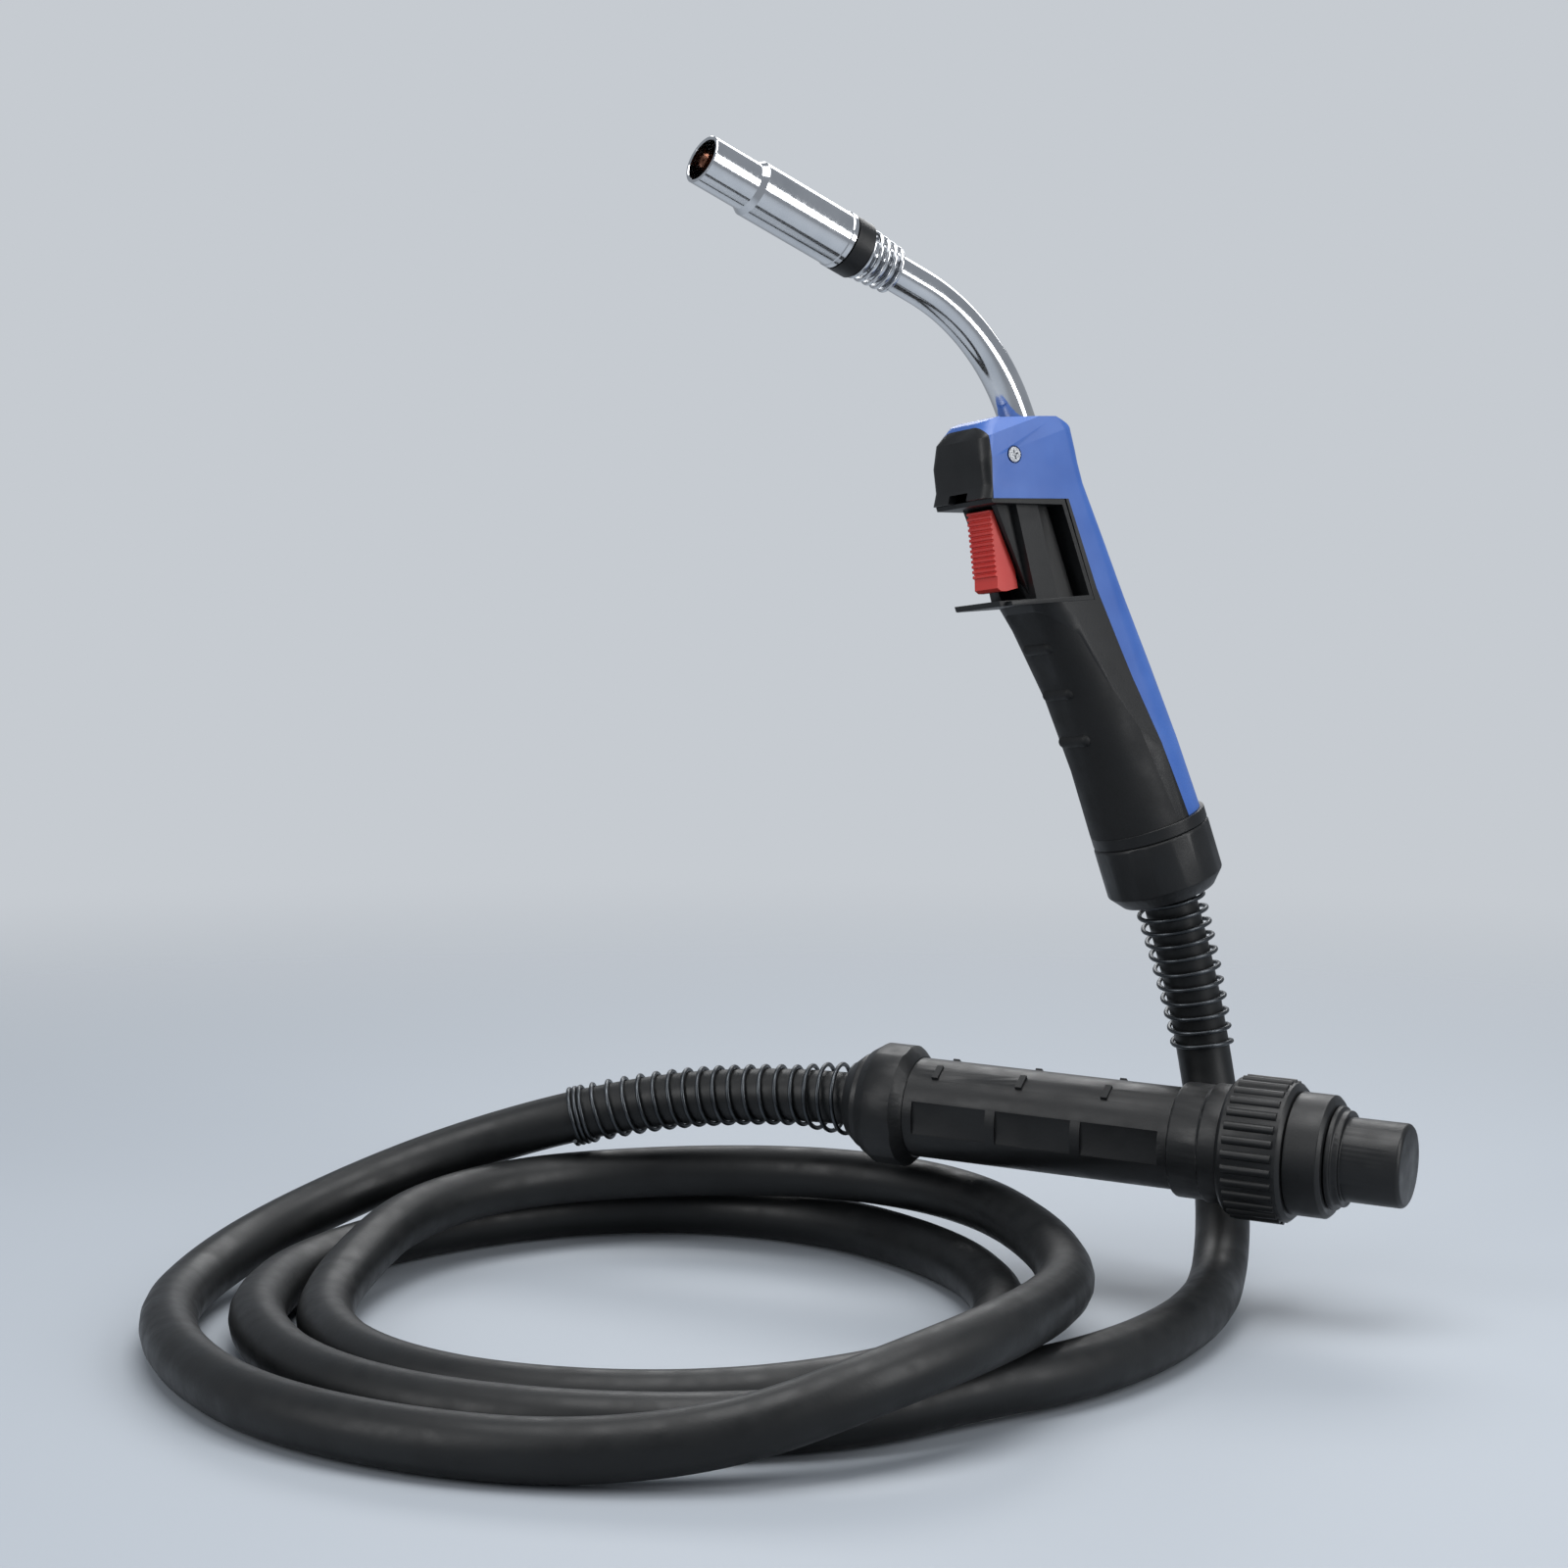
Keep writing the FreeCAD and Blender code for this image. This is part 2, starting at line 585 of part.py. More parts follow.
# Swan neck and what runs through it.
neck_outer = neck_pipe(float(neck_radius))
neck_inner = neck_pipe(float(neck_radius - neck_wall), -1.0, -1.0)
feature("swan_neck", neck_outer.cut(neck_inner), torch)
core_inner = neck_pipe(float(liner_radius) + 0.05, -1.0, -1.0)
feature("neck_conductor", neck_pipe(float(neck_core_radius), 0.5, 0.1).cut(core_inner), torch)
liner_hole = neck_pipe(float(wire_bore_radius) + 0.4, -1.0, -1.0)
feature("wire_liner", neck_pipe(float(liner_radius), 1.0, 0.4).cut(liner_hole), torch)

# Nozzle end. Heights run along the nozzle from the end of the neck's bend.
nozzle_frame = torch.multiply(Placement(neck_end, Rotation(Vector(0, 1, 0), -float(neck_end_angle))))
spring_start = -1.0
insulator_start = nozzle_spring_length + spring_start
nozzle_start = insulator_start + insulator_length + running_gap
mouth = nozzle_start + nozzle_length
tip_end = mouth - tip_recess
tip_start = tip_end - tip_length
nozzle_bore = nozzle_rear_radius - nozzle_wall
step_start = mouth - nozzle_front_length - 3.0

coil_start = max(float(nozzle_spring_radius) - 0.9,
                 float(neck_radius) + float(nozzle_spring_wire) / 2 + 0.15)
coil = helix(coil_start, float(nozzle_spring_wire),
             (float(nozzle_spring_length) - 1.8) / float(nozzle_spring_turns),
             float(nozzle_spring_turns), coil_start + 1.4)
lift = Placement(Vector(0, 0, spring_start + 0.9), Rotation())
feature("nozzle_spring", coil.transformed(lift.toMatrix()), nozzle_frame)
turned("nozzle_insulator", [(neck_radius + 0.02, insulator_start), (insulator_radius, insulator_start),
                            (insulator_radius, insulator_start + insulator_length),
                            (nozzle_bore - shaft_gap, insulator_start + insulator_length),
                            (nozzle_bore - shaft_gap, nozzle_start + 10.0),
                            (neck_radius + 0.02, nozzle_start + 10.0)], nozzle_frame)
turned("gas_nozzle", [(nozzle_bore, nozzle_start), (nozzle_rear_radius - 0.4, nozzle_start),
                      (nozzle_rear_radius, nozzle_start + 0.4),
                      (nozzle_rear_radius, nozzle_start + 2.2),
                      (nozzle_rear_radius - 0.35, nozzle_start + 2.6),
                      (nozzle_rear_radius - 0.35, step_start),
                      (nozzle_front_radius, step_start + 2.4), (nozzle_front_radius, mouth - 0.3),
                      (nozzle_front_radius - 0.3, mouth), (nozzle_front_radius - nozzle_wall + 0.3, mouth),
                      (nozzle_front_radius - nozzle_wall, mouth - 0.3),
                      (nozzle_front_radius - nozzle_wall, step_start + 1.2),
                      (nozzle_bore, step_start - 1.2)], nozzle_frame)
turned("tip_holder", [(wire_bore_radius + 0.6, neck_reach), (neck_radius - 0.1, neck_reach),
                      (neck_radius - 0.1, neck_reach + 2.5), (holder_radius, neck_reach + 2.5),
                      (holder_radius, tip_start), (wire_bore_radius + 0.6, tip_start)], nozzle_frame)
diffuser_start = neck_reach + 2.5
ring = sleeve("diffuser_tube", diffuser_radius, holder_radius + 0.02, diffuser_start,
              diffuser_start + diffuser_length, keep=False)
jets = []
for i in range(4):
    turn = Rotation(Vector(0, 0, 1), 45.0 * i).multiply(Rotation(Vector(0, 1, 0), 90))
    start = Rotation(Vector(0, 0, 1), 45.0 * i).multVec(Vector(-10, 0, 0))
    jets.append(cylinder(f"jet_{i}", diffuser_hole_radius, 20.0,
                         (start.x, start.y, diffuser_start + float(diffuser_length) * 0.65), turn))
node(cut("diffuser_cut", ring, jets), "gas_diffuser", nozzle_frame)
turned("contact_tip", [(wire_bore_radius, tip_start), (tip_radius, tip_start),
                       (tip_radius, tip_end - 7.0), (tip_nose_radius, tip_end),
                       (wire_bore_radius, tip_end)], nozzle_frame)

# Central plug ------------------------------------------------------------
# Its axis runs from the cable end to the cap, which points to the right and forward.
plug_place = Vector(102.0, 95.0, 67.5)
plug_way = Vector(0.899, -0.436, -0.03).normalize()
plug = Placement(plug_place, Rotation(Vector(0, 0, 1), plug_way))

rear_start = -14.0
ring_start = plug_nut_length + rear_start
housing_start = ring_start + plug_ring_length
end_start = housing_start + housing_length
hub_start = end_start + end_ring_length
hub_radius = size("hub_radius", 17.0)
collar_start = hub_start + running_gap
front_start = collar_start + collar_length + running_gap
spigot_start = front_start + front_ring_length
spigot_length = size("spigot_length", 10.0)
spigot_end = spigot_start + spigot_length
core_nose_radius = size("core_nose_radius", 9.0)
cable_hole = cable_radius + 0.05

rear_hole = cable_radius + 0.5
turned("plug_rear_nut", [(rear_hole, rear_start), (plug_nut_radius - 4.0, rear_start),
                         (plug_nut_radius, rear_start + 5.0), (plug_nut_radius, ring_start),
                         (rear_hole, ring_start)], plug)

ring_prism = solid("Prism", "ring_prism", (0, 0, ring_start), Rotation(Vector(0, 0, 1), 12),
                   Polygon=8, Circumradius=plug_ring_radius + 1.6, Height=plug_ring_length)
ring_form = turned("ring_form", [(0, ring_start), (plug_ring_radius - 3.0, ring_start),
                                 (plug_ring_radius, ring_start + 5.0),
                                 (plug_ring_radius, housing_start - 4.0),
                                 (plug_ring_radius - 4.0, housing_start), (0, housing_start)], keep=False)
ring_round = doc.addObject("Part::Common", "ring_round")
ring_round.Base, ring_round.Tool = ring_prism, ring_form
ring_hole = cylinder("ring_hole", cable_hole, plug_ring_length + 10.0, (0, 0, ring_start - 5.0))
node(cut("ring_cut", ring_round, [ring_hole]), "plug_ring_nut", plug)

# The housing has a row of shallow panels on each side and a row of snap ribs above it.
housing_tube = sleeve("housing_tube", housing_radius, housing_radius - housing_wall, housing_start,
                      end_start, keep=False)
panel_gap = (float(housing_length) - 3 * float(panel_length)) / 4
upward = 154.0
panels = []
for row in range(3):
    at = float(housing_start) + panel_gap + row * (float(panel_length) + panel_gap)
    for k, angle in enumerate((upward + 92.0, upward - 88.0)):
        turn = Rotation(Vector(0, 0, 1), angle)
        corner = turn.multVec(Vector(float(housing_radius - panel_depth), -float(panel_width) / 2, 0))
        panels.append(box(f"panel_{row}_{k}", 5.0, panel_width, panel_length,
                          (corner.x, corner.y, at), turn))
body = cut("housing_cut", housing_tube, panels)
ribs = []
for row in range(3):
    at = float(housing_start) + 10.0 + row * (float(panel_length) + panel_gap)
    for k, angle in enumerate((upward + 33.0, upward - 33.0)):
        turn = Rotation(Vector(0, 0, 1), angle)
        corner = turn.multVec(Vector(float(housing_radius) - 1.0, -3.5, 0))
        ribs.append(box(f"snap_rib_{row}_{k}", 2.0, 7.0, 2.6, (corner.x, corner.y, at), turn))
node(fuse("housing_whole", [body] + ribs), "plug_housing", plug)

turned("plug_end_ring", [(core_radius + 0.02, end_start), (end_ring_radius - 0.8, end_start),
                         (end_ring_radius, end_start + 0.8), (end_ring_radius, end_start + 12.0),
                         (end_ring_radius + 0.8, end_start + 12.8), (end_ring_radius + 0.8, hub_start),
                         (hub_radius, hub_start), (hub_radius, front_start),
                         (core_radius + 0.02, front_start)], plug)

# Collar nut: turns freely on the hub, with a rib on every grip line.
collar_body = turned("collar_body", [(hub_radius + shaft_gap, collar_start),
                                     (collar_radius - 1.5, collar_start),
                                     (collar_radius, collar_start + 1.5),
                                     (collar_radius, collar_start + collar_length - 1.5),
                                     (collar_radius - 1.5, collar_start + collar_length),
                                     (hub_radius + shaft_gap, collar_start + collar_length)], keep=False)
grip_bars = []
count = int(float(collar_ribs))
for i in range(count):
    angle = 360.0 * i / count
    turn = Rotation(Vector(0, 0, 1), angle)
    spot = turn.multVec(Vector(float(collar_radius) - 0.6, 0, 0))
    grip_bars.append(cylinder(f"grip_bar_{i}", collar_rib + 0.6, collar_length - 6.0,
                              (spot.x, spot.y, collar_start + 3.0)))
node(fuse("collar_whole", [collar_body] + grip_bars), "collar_nut", plug)

# Front ring with the spigot that the cap slides on and the bores of two spring contacts.
contact_start = spigot_start - 8.0
front_form = turned("front_form", [(core_nose_radius + 0.02, front_start),
                                   (front_ring_radius, front_start),
                                   (front_ring_radius, spigot_start - 1.5),
                                   (front_ring_radius - 1.5, spigot_start),
                                   (cap_radius - cap_wall - shaft_gap, spigot_start),
                                   (cap_radius - cap_wall - shaft_gap, spigot_end),
                                   (core_nose_radius + 0.02, spigot_end)], keep=False)
bores = [cylinder(f"contact_bore_{k}", contact_radius + shaft_gap, 40.0,
                  (0, contact_offset * side, contact_start - contact_travel - 1.0))
         for k, side in (("a", 1), ("b", -1))]
node(cut("front_cut", front_form, bores), "plug_front_ring", plug)
for k, side in (("a", 1), ("b", -1)):
    rod = cylinder(f"contact_rod_{k}", contact_radius, contact_length, (0, 0, 0))
    rod.Placement = plug.multiply(Placement(Vector(0, float(contact_offset) * side,
                                                   float(contact_start)), Rotation()))
    node(rod, f"contact_pin_{k}")
    small = helix(0.85, 0.35, 0.8, 4.5)
    seat_place = Placement(Vector(0, float(contact_offset) * side,
                                  float(contact_start - contact_travel) - 0.8), Rotation())
    feature(f"contact_spring_{k}", small.transformed(seat_place.toMatrix()), plug)

turned("plug_core", [(2.4, housing_start + 1.0), (core_radius - 1.5, housing_start + 1.0),
                     (core_radius - 1.5, end_start - 12.0), (core_radius, end_start - 12.0),
                     (core_radius, front_start), (core_nose_radius, front_start),
                     (core_nose_radius, spigot_end + 4.0), (2.4, spigot_end + 4.0)], plug)
nipple_start = spigot_end + 4.0
turned("gas_nipple", [(1.0, nipple_start), (nipple_radius, nipple_start),
                      (nipple_radius, nipple_start + 5.0), (nipple_radius - 0.8, nipple_start + 5.0),
                      (nipple_radius - 0.8, nipple_start + 6.6), (nipple_radius, nipple_start + 6.6),
                      (nipple_radius, nipple_start + nipple_length - 1.0),
                      (nipple_radius - 1.0, nipple_start + nipple_length),
                      (1.0, nipple_start + nipple_length)], plug)
turned("nipple_oring", [(nipple_radius - 0.8, nipple_start + 5.05), (nipple_radius + 0.4, nipple_start + 5.05),
                        (nipple_radius + 0.4, nipple_start + 6.55),
                        (nipple_radius - 0.8, nipple_start + 6.55)], plug)

cap_start = spigot_start + running_gap
step_end = cap_start + cap_step_length
cap_end = step_end + cap_length
turned("plug_cap", [(cap_radius - cap_wall, cap_start), (cap_step_radius, cap_start),
                    (cap_step_radius, cap_start + 2.0), (cap_step_radius - 1.4, cap_start + 2.6),
                    (cap_step_radius - 1.4, step_end), (cap_radius, step_end),
                    (cap_radius, cap_end - 1.2), (cap_radius - 1.2, cap_end), (0, cap_end),
                    (0, cap_end - cap_wall), (cap_radius - cap_wall, cap_end - cap_wall)], plug)

# Cable -------------------------------------------------------------------
# Both ends of the cable rise from the coil, one to the plug and one to the handle.
cable_end_in_plug = 10.0
cable_end_in_handle = crimp_foot + 3.0
PLUG_ROUTE = [
    plug.multVec(Vector(0, 0, cable_end_in_plug)),
    plug.multVec(Vector(0, 0, -22.0)),
    Vector(50.0, 118.0, 67.0),
    Vector(12.0, 134.0, 62.0),
    Vector(-32.0, 143.0, 52.0),
    Vector(-76.0, 137.0, 40.0),
    Vector(-114.0, 115.0, 28.5),
]
HANDLE_ROUTE = [
    Vector(124.0, -116.0, 11.6),
    Vector(158.0, -94.0, 11.0),
    Vector(190.0, -58.0, 10.8),
    Vector(213.0, -14.0, 10.8),
    Vector(226.0, 31.0, 12.0),
    Vector(233.0, 71.0, 34.0),
    Vector(230.0, 93.0, 75.0),
    torch.multVec(Vector(float(nut_centre_x), 0, -26.0)),
    torch.multVec(Vector(float(nut_centre_x), 0, cable_end_in_handle)),
]


def route_pipe(points, radius):
    """A round bar along straight runs that tangent arcs join, each as large as its runs allow."""
    edges = []
    bends = []
    last = points[0]
    for before, corner, after in zip(points, points[1:], points[2:]):
        back, ahead = (before - corner), (after - corner)
        run = min(back.Length, ahead.Length)
        back.normalize()
        ahead.normalize()
        half_turn = (math.pi - back.getAngle(ahead)) / 2
        reach = 0.45 * run
        start, end = corner + back * reach, corner + ahead * reach
        bend = reach / math.tan(half_turn)
        inward = (back + ahead).normalize()
        middle = corner + inward * (math.hypot(bend, reach) - bend)
        edges.append(Part.LineSegment(last, start).toShape())
        edges.append(Part.Arc(start, middle, end).toShape())
        bends.append(round(bend, 1))
        last = end
    edges.append(Part.LineSegment(last, points[-1]).toShape())
    section = Part.Wire([Part.makeCircle(radius, points[0], points[1] - points[0])])
    pipe = Part.Wire(edges).makePipeShell([section], True, False)
    return pipe, bends, sum(edge.Length for edge in edges)


def cable_tube(label, points):
    """One end of the cable, with its bends and its volume printed."""
    radius = float(cable_radius)
    tube, bends, length = route_pipe(points, radius)
    share = tube.Volume / (math.pi * radius ** 2 * length)
    print(label, "bend radii", bends, "length", round(length, 1), "volume share", round(share, 4))
    feature(label, tube)


cable_tube("cable_tail_plug", PLUG_ROUTE)
cable_tube("cable_tail_handle", HANDLE_ROUTE)

# The coil is one closed ring, two cables high, with rounded shoulders.
coil_place = Placement(Vector(0, float(coil_setback), 0), Rotation())
shoulder = 6.0
turned("cable_coil", [(coil_inner_radius, shoulder), (coil_inner_radius + shoulder, 0),
                      (coil_outer_radius - shoulder, 0), (coil_outer_radius, shoulder),
                      (coil_outer_radius, coil_height - shoulder),
                      (coil_outer_radius - shoulder, coil_height),
                      (coil_inner_radius + shoulder, coil_height),
                      (coil_inner_radius, coil_height - shoulder)], coil_place)

# Spring guards, as the sleeves that their turns fill. Each follows the cable from its nut.
def guard_sleeve(label, points, start_place, length):
    """A sleeve on the cable, from the face at start_place and as long as the guard."""
    fat = route_pipe(points, float(cable_radius + guard_gap + guard_wire))[0]
    hole = route_pipe(points, float(cable_radius + guard_gap))[0]
    reach = float(length)
    slab = Part.makeBox(120, 120, reach, Vector(-60, -60, -reach))
    slab = slab.transformed(start_place.toMatrix())
    feature(label, main_solid(fat.common(slab).cut(hole)))


guard_sleeve("handle_cable_spring", HANDLE_ROUTE,
             torch.multiply(Placement(Vector(float(nut_centre_x), 0, -1.0), Rotation())), guard_length)
guard_sleeve("plug_cable_spring", PLUG_ROUTE,
             plug.multiply(Placement(Vector(0, 0, rear_start), Rotation())), plug_guard_length)


# Check and write ---------------------------------------------------------

doc.recompute()
faults = [f"{obj.Label}: {obj.State}" for obj in doc.Objects
          if "Invalid" in obj.State or "Error" in obj.State]
for obj in nodes:
    if obj.Shape.isNull() or not obj.Shape.isValid() or not obj.Shape.Solids:
        faults.append(f"{obj.Label}: bad shape")
if faults:
    raise RuntimeError("; ".join(faults))

os.makedirs("parts", exist_ok=True)
for obj in nodes:
    obj.Shape.exportStep(f"parts/{obj.Label}.step")
print(len(nodes), "pieces written")
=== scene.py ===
# %% [markdown]
# # A welding torch with its cable
#
# A gas-shielded welding torch is a handle with a trigger, a bent chrome neck that ends in a gas
# nozzle, and a thick cable that runs to a plug for the welding machine. Here the torch stands on
# its own cable, which lies on the floor in three loose turns. The working parts come from a packed
# model, the frame. This lesson loads it and then makes the things that give it its looks: the
# cable along one smooth curve, the springs that guard it, the materials and softened edges.

# %% Load the frame
import math

import bmesh
import bpy
from mathutils import Matrix, Vector


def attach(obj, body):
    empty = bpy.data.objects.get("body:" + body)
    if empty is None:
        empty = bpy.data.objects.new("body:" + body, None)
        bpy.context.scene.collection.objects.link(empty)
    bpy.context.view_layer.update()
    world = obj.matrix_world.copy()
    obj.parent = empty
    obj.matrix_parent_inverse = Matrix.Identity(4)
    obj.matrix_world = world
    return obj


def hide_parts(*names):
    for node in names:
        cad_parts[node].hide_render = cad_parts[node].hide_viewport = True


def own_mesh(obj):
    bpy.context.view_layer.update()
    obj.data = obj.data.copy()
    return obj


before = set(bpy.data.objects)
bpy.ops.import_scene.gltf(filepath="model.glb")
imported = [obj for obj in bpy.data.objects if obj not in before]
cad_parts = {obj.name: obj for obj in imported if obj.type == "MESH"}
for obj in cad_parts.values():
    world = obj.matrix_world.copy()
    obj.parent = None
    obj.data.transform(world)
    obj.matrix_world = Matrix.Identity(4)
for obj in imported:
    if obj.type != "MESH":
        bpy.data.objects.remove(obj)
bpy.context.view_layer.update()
MM = 0.001
ROOT = "handle_and_cable"

# %% [markdown]
# ## Camera
#
# A long lens far away keeps the proportions of the torch calm. The camera stands in front, a
# little above the coil, and looks down by about five degrees.

# %% Camera
CAMERA_PLACE = (0.0602, -1.1118, 0.2980)
CAMERA_PITCH = math.radians(4.862)

lens = bpy.data.cameras.new("camera")
lens.lens = 70.22
lens.sensor_width = 36.0
camera = bpy.data.objects.new("camera", lens)
camera.location = CAMERA_PLACE
camera.rotation_euler = (math.radians(90) - CAMERA_PITCH, 0, 0)
bpy.context.scene.collection.objects.link(camera)
bpy.context.scene.camera = camera

# %% [markdown]
# ## The cable
#
# The real cable is a rubber hose 21 mm thick with copper, a gas hose and a wire guide in it, and
# nearly 3 m long. It is too stiff to kink, so it lies in wide loose turns. One NURBS spline of
# order 3 does that well: its points only pull the line, so it never has a corner. The points run
# from the plug, round the coil, and up into the handle, in millimetres.

# %% Frames of the plug and of the torch, as in the model
PLUG_WAY = Vector((0.899, -0.436, -0.03)).normalized()
PLUG_PLACE = Vector((102.0, 95.0, 67.5)) * MM
TORCH_FOOT = Vector((209.5, 84.0, 153.0)) * MM
LEAN_LEFT, LEAN_BACK, TORCH_TURN = -17.5, 5.0, 35.0

plug_turn = PLUG_WAY.to_track_quat("Z", "Y").to_matrix().to_4x4()
plug_frame = Matrix.Translation(PLUG_PLACE) @ plug_turn
torch_turn = (Matrix.Rotation(math.radians(LEAN_LEFT), 4, "Y")
              @ Matrix.Rotation(math.radians(LEAN_BACK), 4, "X")
              @ Matrix.Rotation(math.radians(TORCH_TURN), 4, "Z"))
torch_frame = Matrix.Translation(TORCH_FOOT) @ torch_turn


def on_plug(height):
    """A point on the plug's axis, in millimetres."""
    return tuple(plug_frame @ Vector((0, 0, height * MM)) / MM)


def on_torch(x, y, z):
    """A point given beside the handle, in millimetres."""
    return tuple(torch_frame @ Vector((x * MM, y * MM, z * MM)) / MM)


# %% Route of the cable
CABLE_RADIUS = 10.5
LAID = CABLE_RADIUS
cable_route = [
    # from the plug to the floor
    on_plug(10.0), on_plug(-22.0), (50, 118, 67), (12, 134, 62), (-32, 143, 52), (-76, 137, 40),
    (-114, 115, 28.5), (-149, 76, 17), (-166, 24, LAID), (-164, -28, LAID),
    # the wide turn, which climbs over the others on the right
    (-146, -82, LAID), (-112, -134, LAID), (-60, -170, LAID), (-6, -185, LAID), (46, -183, 16),
    (94, -164, 29), (132, -127, 34), (155, -74, 31), (164, -20, 27), (157, 38, 28),
    (136, 84, 31.5), (98, 119, 32.5), (50, 140, 31), (-8, 145, 28.5), (-56, 124, 28), (-90, 88, 24),
    # the small inner turn
    (-104, 46, 16), (-110, 4, LAID), (-104, -39, LAID), (-82.5, -82.5, LAID), (-45, -114, LAID),
    (2, -128.5, LAID), (50, -125, LAID), (95, -101, LAID), (128, -62, LAID), (142, -14, LAID),
    # the back of the last turn
    (136, 44, LAID), (114, 94, LAID), (78, 136, LAID), (30, 160, LAID), (-22, 158, LAID),
    (-70, 133, LAID), (-106, 96, LAID), (-128, 50, LAID), (-133, 4, 12), (-130, -36, 12),
    (-108.5, -86, LAID), (-72, -125, LAID), (-21, -149, LAID), (32, -155, LAID), (84, -145, LAID),
    # away from the coil and up into the handle
    (124, -116, 11.6), (158, -94, 11), (190, -58, 10.8), (213, -14, 10.8), (226, 31, 12),
    (233, 71, 34), (230, 93, 75), on_torch(2.6, 0, -26), on_torch(2.6, 0, 27),
]

# %% One NURBS spline through the route
def nurbs_curve(name, points, steps):
    """A curve of order 3 that starts and ends at its first and last points, in metres."""
    curve = bpy.data.curves.new(name, "CURVE")
    curve.dimensions = "3D"
    thread = curve.splines.new("NURBS")
    thread.points.add(len(points) - 1)
    for point, place in zip(thread.points, points):
        point.co = (*place, 1.0)
    thread.order_u = 3
    thread.use_endpoint_u = True
    curve.resolution_u = steps
    return curve


def curve_mesh(name, curve):
    """The mesh that a curve draws: a line, or a tube once it has a bevel."""
    holder = bpy.data.objects.new(name, curve)
    mesh = bpy.data.meshes.new_from_object(holder)
    bpy.data.objects.remove(holder)
    mesh.name = name
    return mesh


cable_curve = nurbs_curve("cable_route", [Vector(place) * MM for place in cable_route], 10)
line_mesh = curve_mesh("cable_line", cable_curve)
cable_line = [vertex.co.copy() for vertex in line_mesh.vertices]
bpy.data.meshes.remove(line_mesh)

cable_curve.bevel_depth = CABLE_RADIUS * MM
cable_curve.bevel_resolution = 7
cable_curve.use_fill_caps = True
cable_mesh = curve_mesh("welding_cable", cable_curve)
for face in cable_mesh.polygons:
    face.use_smooth = True
welding_cable = bpy.data.objects.new("welding_cable", cable_mesh)
bpy.context.scene.collection.objects.link(welding_cable)
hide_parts("cable_tail_plug", "cable_coil", "cable_tail_handle")
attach(welding_cable, ROOT)

# %% [markdown]
# ## Spring guards
#
# Where the cable leaves the plug and the handle, an open steel spring stops it from bending too
# sharply. Each spring is a helix that follows the cable's own line. Its turns are worked out from
# a frame that slides along the line without twisting, so the pitch stays even in the bends.

# %% Stations along the cable
stations = [0.0]
for a, b in zip(cable_line, cable_line[1:]):
    stations.append(stations[-1] + (b - a).length)


def station_near(place):
    """How far along the cable its line passes nearest to a point."""
    nearest = min(range(len(cable_line)), key=lambda i: (cable_line[i] - place).length)
    return stations[nearest]


def cable_frames():
    """At each point of the line: its direction, and two directions across it that don't twist."""
    frames = []
    side = None
    for i in range(len(cable_line)):
        ahead = cable_line[min(i + 1, len(cable_line) - 1)] - cable_line[max(i - 1, 0)]
        ahead.normalize()
        side = ahead.orthogonal().normalized() if side is None else side
        side = (side - ahead * side.dot(ahead)).normalized()
        frames.append((ahead, side, ahead.cross(side)))
    return frames


line_frames = cable_frames()


def at_station(distance):
    """Point, and the two directions across, at a distance along the cable."""
    i = max(k for k in range(len(stations) - 1) if stations[k] <= distance)
    share = (distance - stations[i]) / (stations[i + 1] - stations[i])
    place = cable_line[i].lerp(cable_line[i + 1], share)
    side = line_frames[i][1].lerp(line_frames[i + 1][1], share).normalized()
    across = line_frames[i][2].lerp(line_frames[i + 1][2], share).normalized()
    return place, side, across


# %% Wind a spring round the cable
GUARD_WIRE = 0.9 * MM
STEPS_PER_TURN = 28


def wind_guard(name, start, way, turns):
    """A wire spring from a station on. Each turn has a pitch and an inside radius, in mm."""
    path = []
    distance, angle = start, 0.0
    for k, (pitch, radius) in enumerate(turns):
        after = turns[min(k + 1, len(turns) - 1)][1]
        for step in range(STEPS_PER_TURN):
            share = step / STEPS_PER_TURN
            reach = (radius + (after - radius) * share) * MM + GUARD_WIRE
            place, side, across = at_station(distance)
            path.append(place + (side * math.cos(angle) + across * math.sin(angle)) * reach)
            angle += 2 * math.pi / STEPS_PER_TURN
            distance += way * pitch * MM / STEPS_PER_TURN
    wire = nurbs_curve(name, path, 2)
    wire.bevel_depth = GUARD_WIRE
    wire.bevel_resolution = 3
    wire.use_fill_caps = True
    wire_mesh = curve_mesh(name, wire)
    for face in wire_mesh.polygons:
        face.use_smooth = True
    guard = bpy.data.objects.new(name, wire_mesh)
    bpy.context.scene.collection.objects.link(guard)
    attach(guard, ROOT)
    print(name, "has", len(turns), "turns")
    return guard


# %% The two guards
SNUG = CABLE_RADIUS + 0.15
NUT_CENTRE_X = 2.6
REAR_NUT_START = -14.0
nut_foot = torch_frame @ Vector((NUT_CENTRE_X * MM, 0, -1.0 * MM))
handle_turns = ([(5.6, 12.6 - 0.13 * k) for k in range(4)]
                + [(6.2, 12.0 - 0.2 * k) for k in range(7)])
handle_guard = wind_guard("handle_cable_guard", station_near(nut_foot) + 1.0 * MM, -1, handle_turns)
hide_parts("handle_cable_spring")

rear_face = plug_frame @ Vector((0, 0, REAR_NUT_START * MM))
plug_turns = ([(6.4, 13.4), (6.4, 13.0), (6.4, 12.5), (6.4, 11.8)] + [(6.8, SNUG)] * 14
              + [(2.3, SNUG)] * 3)
plug_guard = wind_guard("plug_cable_guard", station_near(rear_face) - 1.0 * MM, 1, plug_turns)
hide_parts("plug_cable_spring")

# %% [markdown]
# ## Helpers for materials
#
# Colours are written as sRGB hex values and turned to the linear values that a shader takes. One
# small function adds a node with its settings and links, so that each material reads as a list
# of what it is made of.

